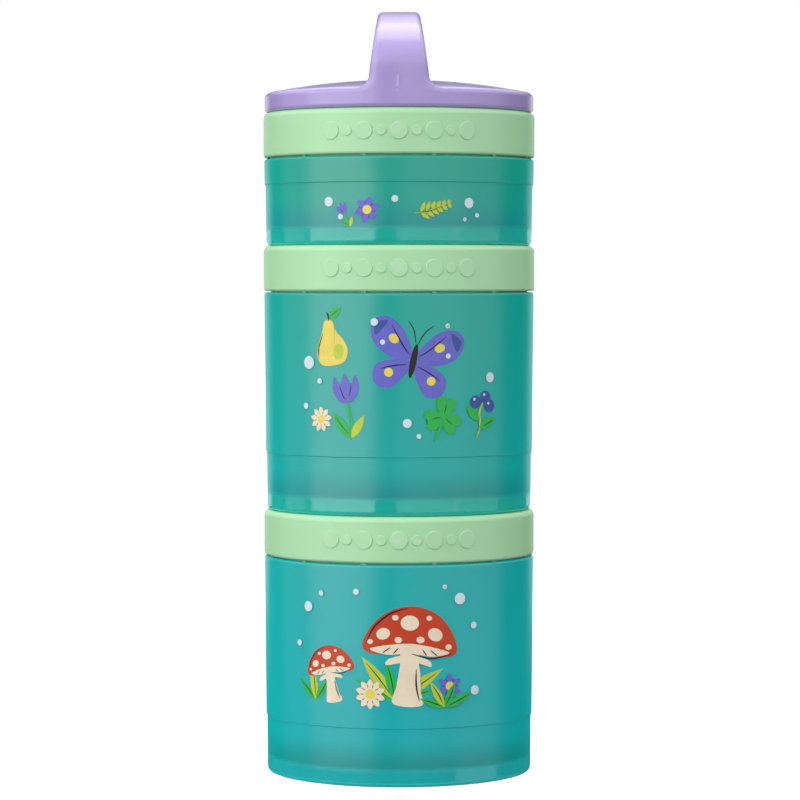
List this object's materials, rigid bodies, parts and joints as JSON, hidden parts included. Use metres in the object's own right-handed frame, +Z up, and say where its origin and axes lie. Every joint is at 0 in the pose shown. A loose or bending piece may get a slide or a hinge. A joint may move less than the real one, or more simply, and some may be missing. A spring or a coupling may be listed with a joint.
{
  "type": "stacking snack container",
  "caption": "Stacking snack container of frosted cups that twist together at their collar rings, closed by a domed lid with a carrying loop.",
  "frame": {"origin": "centre of the lower cup's foot, on the surface that the stack stands on", "axes": "+Z up the stack's axis to the carrying loop; -Y is the printed front, which the loop's near leg faces; +X is to the right of someone facing the front"},
  "size_m": [0.082, 0.0826, 0.2295],
  "materials": {
    "frosted_cup": "frosted translucent teal polypropylene, satin",
    "mint_collar": "opaque mint polypropylene, soft gloss",
    "lavender_lid": "opaque lavender polypropylene, soft gloss",
    "seal_rubber": "milky silicone rubber"
  },
  "bodies": {
    "lower_stage": {"lower_cup": "frosted_cup", "lower_seal": "seal_rubber", "lower_collar": "mint_collar"},
    "middle_ring": {"middle_seal": "seal_rubber"},
    "middle_stage": {"middle_cup": "frosted_cup", "middle_collar": "mint_collar"},
    "upper_ring": {"upper_seal": "seal_rubber"},
    "upper_stage": {"upper_cup": "frosted_cup", "upper_collar": "mint_collar"},
    "lid_ring": {"lid_seal": "seal_rubber"},
    "lid_stage": {"lid": "lavender_lid"}
  },
  "joints": [
    {"name": "middle_lift", "type": "slide", "parent": "lower_stage", "child": "middle_ring", "axis": [0, 0, 1], "range_m": [0, 0.006]},
    {"name": "middle_twist", "type": "hinge", "parent": "middle_ring", "child": "middle_stage", "pos_m": [0, 0, 0.07955], "axis": [0, 0, 1], "range_deg": [0, 180]},
    {"name": "upper_lift", "type": "slide", "parent": "middle_stage", "child": "upper_ring", "axis": [0, 0, 1], "range_m": [0, 0.006]},
    {"name": "upper_twist", "type": "hinge", "parent": "upper_ring", "child": "upper_stage", "pos_m": [0, 0, 0.1591], "axis": [0, 0, 1], "range_deg": [0, 180]},
    {"name": "lid_lift", "type": "slide", "parent": "upper_stage", "child": "lid_ring", "axis": [0, 0, 1], "range_m": [0, 0.006]},
    {"name": "lid_twist", "type": "hinge", "parent": "lid_ring", "child": "lid_stage", "pos_m": [0, 0, 0.1992], "axis": [0, 0, 1], "range_deg": [0, 180]}
  ],
  "couplings": [
    {"joint": "middle_lift", "follows": "middle_twist", "m_per_rad": 0.0019098},
    {"joint": "upper_lift", "follows": "upper_twist", "m_per_rad": 0.0019098},
    {"joint": "lid_lift", "follows": "lid_twist", "m_per_rad": 0.0019098}
  ]
}
